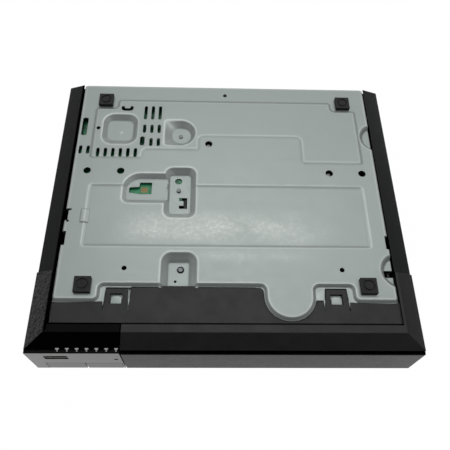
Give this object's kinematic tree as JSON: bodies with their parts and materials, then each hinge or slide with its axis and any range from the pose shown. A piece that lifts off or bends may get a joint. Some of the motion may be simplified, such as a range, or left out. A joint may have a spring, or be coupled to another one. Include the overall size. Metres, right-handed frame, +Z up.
{
  "type": "disc player",
  "caption": "Compact flat disc player with a motor-driven loading tray, glossy corner panel with keys and a socket, steel top cover and pressed bottom plate on square feet.",
  "frame": {"origin": "middle of the player's footprint, at the level that the feet stand on", "axes": "+Z up, front at -Y, +X to the right seen from the front"},
  "size_m": [0.23, 0.199, 0.039],
  "materials": {
    "cover_paint": "satin black paint on steel sheet",
    "plate_steel": "zinc-coated steel sheet",
    "panel_steel": "black-coated steel sheet",
    "bezel_plastic": "satin moulded",
    "trim_plastic": "fine-grained moulded",
    "gloss_black": "high gloss",
    "door_plastic": "smooth semi-gloss",
    "key_plastic": "gloss",
    "switch_plastic": "moulded",
    "light_plastic": "clear moulded, taken as solid",
    "socket_steel": "nickel-plated shell",
    "socket_plastic": "moulded",
    "coax_plastic": "moulded",
    "board_green": "solder mask",
    "chip_black": "moulded",
    "sink_aluminium": "extruded",
    "can_aluminium": "drawn",
    "plug_plastic": "moulded",
    "ribbon_plastic": "flat film",
    "screw_steel": "plated steel",
    "foot_rubber": "moulded",
    "base_plastic": "moulded",
    "tray_plastic": "moulded",
    "gear_plastic": "moulded",
    "motor_steel": "plated",
    "belt_rubber": "smooth",
    "frame_steel": "zinc-coated",
    "bush_rubber": "soft",
    "clamp_plastic": "moulded",
    "yoke_steel": "plated",
    "rod_steel": "ground",
    "sled_metal": "die cast",
    "holder_plastic": "moulded",
    "lens_glass": "polished"
  },
  "bodies": {
    "casing": {"board_screws": "screw_steel", "bottom_chassis": "plate_steel", "bridge_screws": "screw_steel", "capacitors": "can_aluminium", "clamp_bridge": "frame_steel", "coax_jack": "coax_plastic", "dc_jack": "socket_plastic", "drive_belt": "belt_rubber", "drive_ribbon": "ribbon_plastic", "foot_back_left": "foot_rubber", "foot_back_right": "foot_rubber", "foot_front_left": "foot_rubber", "foot_front_right": "foot_rubber", "front_bezel": "bezel_plastic", "front_board": "board_green", "front_board_screws": "screw_steel", "front_ribbon": "ribbon_plastic", "gloss_panel": "gloss_black", "hdmi_jack": "socket_steel", "heat_sink": "sink_aluminium", "infrared_receiver": "chip_black", "key_switches": "switch_plastic", "lan_jack": "socket_steel", "loader_base": "base_plastic", "loader_board": "board_green", "loader_screw": "screw_steel", "loading_motor": "motor_steel", "main_board": "board_green", "pivot_bushes": "bush_rubber", "processor": "chip_black", "rear_panel": "panel_steel", "rear_screws": "screw_steel", "ribbon_connectors": "plug_plastic", "side_trim": "trim_plastic", "status_light_pipe": "light_plastic", "top_cover": "cover_paint", "usb_port": "socket_steel", "usb_tongue": "socket_plastic"},
    "tray": {"disc_tray": "tray_plastic", "tray_door": "door_plastic"},
    "loading_wheel": {"loading_gear": "gear_plastic"},
    "pulley_wheel": {"pulley_gear": "gear_plastic"},
    "motor_wheel": {"motor_pulley": "motor_steel"},
    "lift_slider": {"cam_slider": "gear_plastic"},
    "traverse": {"traverse_frame": "frame_steel", "spindle_base": "motor_steel", "guide_rods": "rod_steel", "sled_motor": "motor_steel"},
    "spindle": {"spindle_rotor": "motor_steel", "turntable": "clamp_plastic"},
    "clamp_disc": {"clamper": "clamp_plastic", "clamper_yoke": "yoke_steel"},
    "sled": {"pickup_sled": "sled_metal"},
    "lens": {"lens_holder": "holder_plastic", "objective_lens": "lens_glass"},
    "sled_screw": {"lead_screw": "rod_steel"},
    "power_key": {"power_button": "key_plastic", "power_plunger": "switch_plastic"},
    "eject_key": {"eject_button": "key_plastic", "eject_plunger": "switch_plastic"}
  },
  "joints": [
    {"name": "tray_slide", "type": "slide", "parent": "casing", "child": "tray", "axis": [0, -1, 0], "range_m": [0, 0.142]},
    {"name": "loading_gear_turn", "type": "hinge", "parent": "casing", "child": "loading_wheel", "pos_m": [0.0032, -0.0711, 0.0175], "axis": [0, 0, -1], "range_deg": [0, 542.45]},
    {"name": "pulley_gear_turn", "type": "hinge", "parent": "casing", "child": "pulley_wheel", "pos_m": [-0.01734, -0.07547, 0.016], "axis": [0, 0, 1], "range_deg": [0, 1356.05]},
    {"name": "motor_pulley_turn", "type": "hinge", "parent": "casing", "child": "motor_wheel", "pos_m": [-0.046, -0.0745, 0.016], "axis": [0, 0, 1], "range_deg": [0, 6102.05]},
    {"name": "lift_slide", "type": "slide", "parent": "casing", "child": "lift_slider", "axis": [1, 0, 0], "range_m": [0, 0.018]},
    {"name": "traverse_tilt", "type": "hinge", "parent": "casing", "child": "traverse", "pos_m": [-0.037, 0.0705, 0.0115], "axis": [1, 0, 0], "range_deg": [0, 2.11]},
    {"name": "spindle_turn", "type": "hinge", "parent": "traverse", "child": "spindle", "pos_m": [-0.037, -0.0195, 0.016], "axis": [0, 0, 1], "continuous": true},
    {"name": "clamper_turn", "type": "hinge", "parent": "casing", "child": "clamp_disc", "pos_m": [-0.037, -0.0195, 0.03], "axis": [0, 0, 1], "continuous": true},
    {"name": "sled_slide", "type": "slide", "parent": "traverse", "child": "sled", "axis": [0, 1, 0], "range_m": [0, 0.036]},
    {"name": "sled_screw_turn", "type": "hinge", "parent": "traverse", "child": "sled_screw", "pos_m": [-0.0686, 0.0205, 0.0146], "axis": [0, 1, 0], "range_deg": [0, 4320.05]},
    {"name": "lens_focus", "type": "slide", "parent": "sled", "child": "lens", "axis": [0, 0, 1], "range_m": [-0.0003, 0.0003], "stiffness_N_per_m": 200},
    {"name": "power_press", "type": "slide", "parent": "casing", "child": "power_key", "axis": [0, 1, 0], "range_m": [0, 0.0003], "stiffness_N_per_m": 4000},
    {"name": "eject_press", "type": "slide", "parent": "casing", "child": "eject_key", "axis": [0, 1, 0], "range_m": [0, 0.0003], "stiffness_N_per_m": 4000}
  ],
  "couplings": [
    {"joint": "loading_gear_turn", "follows": "tray_slide", "rad_per_m": 66.667},
    {"joint": "pulley_gear_turn", "follows": "tray_slide", "rad_per_m": 166.67},
    {"joint": "motor_pulley_turn", "follows": "tray_slide", "rad_per_m": 750},
    {"joint": "traverse_tilt", "follows": "lift_slide", "rad_per_m": 2.0429},
    {"joint": "clamper_turn", "follows": "spindle_turn", "ratio": 1},
    {"joint": "sled_screw_turn", "follows": "sled_slide", "rad_per_m": 2094.4}
  ]
}
